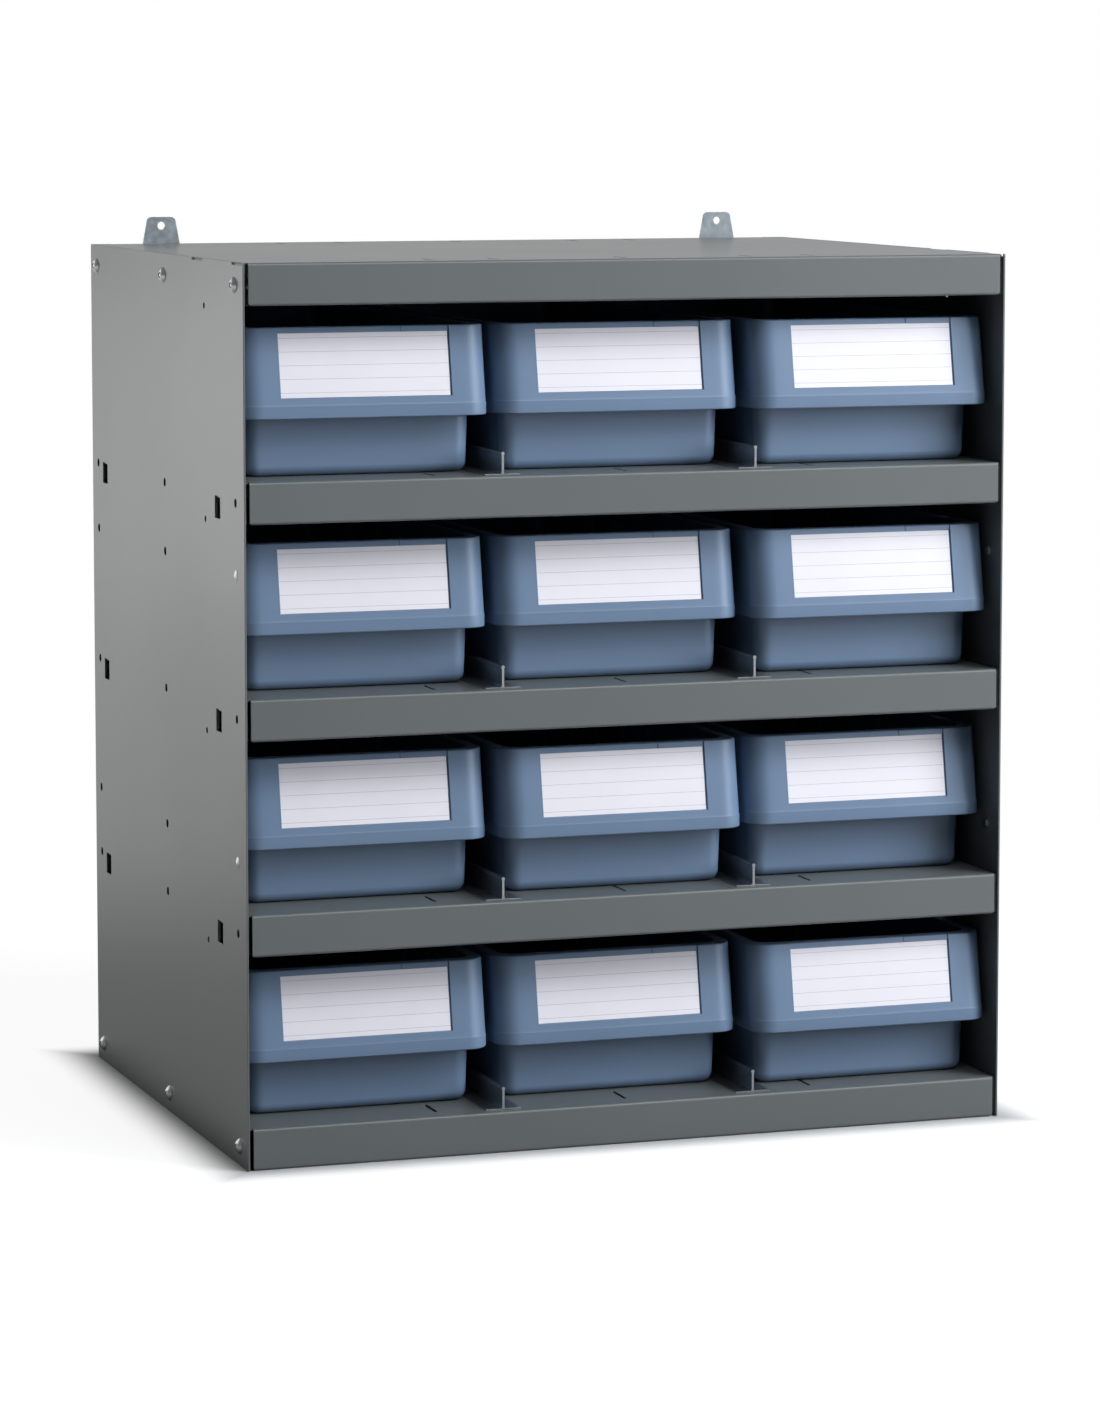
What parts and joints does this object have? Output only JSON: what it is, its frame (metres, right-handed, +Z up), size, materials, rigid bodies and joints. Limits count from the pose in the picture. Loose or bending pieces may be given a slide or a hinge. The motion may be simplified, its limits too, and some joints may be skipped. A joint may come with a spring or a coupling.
{
  "type": "parts bin cabinet",
  "caption": "Open-fronted sheet-steel shelf cabinet holding pull-out plastic parts bins with leaning label fronts, with hanging plates at the back.",
  "frame": {"origin": "on the floor, under the middle of the cabinet", "axes": "+X to the right as seen from the front, +Y from the front to the back, +Z up"},
  "size_m": [0.5666, 0.43, 0.641],
  "materials": {
    "painted_sheet": "satin grey powder coat",
    "galvanised_sheet": "galvanised, faintly spangled",
    "rivet_steel": "zinc plated",
    "zinc_fasteners": "bright zinc plated",
    "rail_sheet": "satin grey",
    "bin_plastic": "fine moulded grain, grey-blue",
    "label_card": "smooth printed card"
  },
  "bodies": {
    "cabinet": {"left_side_panel": "painted_sheet", "right_side_panel": "painted_sheet", "top_pan": "painted_sheet", "upper_shelf": "painted_sheet", "middle_shelf": "painted_sheet", "lower_shelf": "painted_sheet", "bottom_pan": "painted_sheet", "back_panel": "painted_sheet", "left_hanger": "galvanised_sheet", "right_hanger": "galvanised_sheet", "hanger_rivets": "rivet_steel", "back_rivets": "rivet_steel", "left_side_screws": "zinc_fasteners", "right_side_screws": "zinc_fasteners", "left_side_nuts": "zinc_fasteners", "right_side_nuts": "zinc_fasteners", "left_hole_plugs": "zinc_fasteners", "right_hole_plugs": "zinc_fasteners", "rail_1_left": "rail_sheet", "rail_1_right": "rail_sheet", "rail_2_left": "rail_sheet", "rail_2_right": "rail_sheet", "rail_3_left": "rail_sheet", "rail_3_right": "rail_sheet", "rail_4_left": "rail_sheet", "rail_4_right": "rail_sheet"},
    "bin_1_left": {"bin_1_left": "bin_plastic", "label_1_left": "label_card"},
    "bin_1_middle": {"bin_1_middle": "bin_plastic", "label_1_middle": "label_card"},
    "bin_1_right": {"bin_1_right": "bin_plastic", "label_1_right": "label_card"},
    "bin_2_left": {"bin_2_left": "bin_plastic", "label_2_left": "label_card"},
    "bin_2_middle": {"bin_2_middle": "bin_plastic", "label_2_middle": "label_card"},
    "bin_2_right": {"bin_2_right": "bin_plastic", "label_2_right": "label_card"},
    "bin_3_left": {"bin_3_left": "bin_plastic", "label_3_left": "label_card"},
    "bin_3_middle": {"bin_3_middle": "bin_plastic", "label_3_middle": "label_card"},
    "bin_3_right": {"bin_3_right": "bin_plastic", "label_3_right": "label_card"},
    "bin_4_left": {"bin_4_left": "bin_plastic", "label_4_left": "label_card"},
    "bin_4_middle": {"bin_4_middle": "bin_plastic", "label_4_middle": "label_card"},
    "bin_4_right": {"bin_4_right": "bin_plastic", "label_4_right": "label_card"}
  },
  "joints": [
    {"name": "bin_1_left_slide", "type": "slide", "parent": "cabinet", "child": "bin_1_left", "axis": [0, -1, 0], "range_m": [-0.0051, 0.43]},
    {"name": "bin_1_middle_slide", "type": "slide", "parent": "cabinet", "child": "bin_1_middle", "axis": [0, -1, 0], "range_m": [-0.0006, 0.43]},
    {"name": "bin_1_right_slide", "type": "slide", "parent": "cabinet", "child": "bin_1_right", "axis": [0, -1, 0], "range_m": [-0.0115, 0.43]},
    {"name": "bin_2_left_slide", "type": "slide", "parent": "cabinet", "child": "bin_2_left", "axis": [0, -1, 0], "range_m": [-0.0008, 0.43]},
    {"name": "bin_2_middle_slide", "type": "slide", "parent": "cabinet", "child": "bin_2_middle", "axis": [0, -1, 0], "range_m": [-0.0006, 0.43]},
    {"name": "bin_2_right_slide", "type": "slide", "parent": "cabinet", "child": "bin_2_right", "axis": [0, -1, 0], "range_m": [-0.0139, 0.43]},
    {"name": "bin_3_left_slide", "type": "slide", "parent": "cabinet", "child": "bin_3_left", "axis": [0, -1, 0], "range_m": [-0.001, 0.43]},
    {"name": "bin_3_middle_slide", "type": "slide", "parent": "cabinet", "child": "bin_3_middle", "axis": [0, -1, 0], "range_m": [-0.0115, 0.43]},
    {"name": "bin_3_right_slide", "type": "slide", "parent": "cabinet", "child": "bin_3_right", "axis": [0, -1, 0], "range_m": [-0.0047, 0.43]},
    {"name": "bin_4_left_slide", "type": "slide", "parent": "cabinet", "child": "bin_4_left", "axis": [0, -1, 0], "range_m": [-0.0027, 0.43]},
    {"name": "bin_4_middle_slide", "type": "slide", "parent": "cabinet", "child": "bin_4_middle", "axis": [0, -1, 0], "range_m": [-0.0006, 0.43]},
    {"name": "bin_4_right_slide", "type": "slide", "parent": "cabinet", "child": "bin_4_right", "axis": [0, -1, 0], "range_m": [-0.0168, 0.43]}
  ]
}
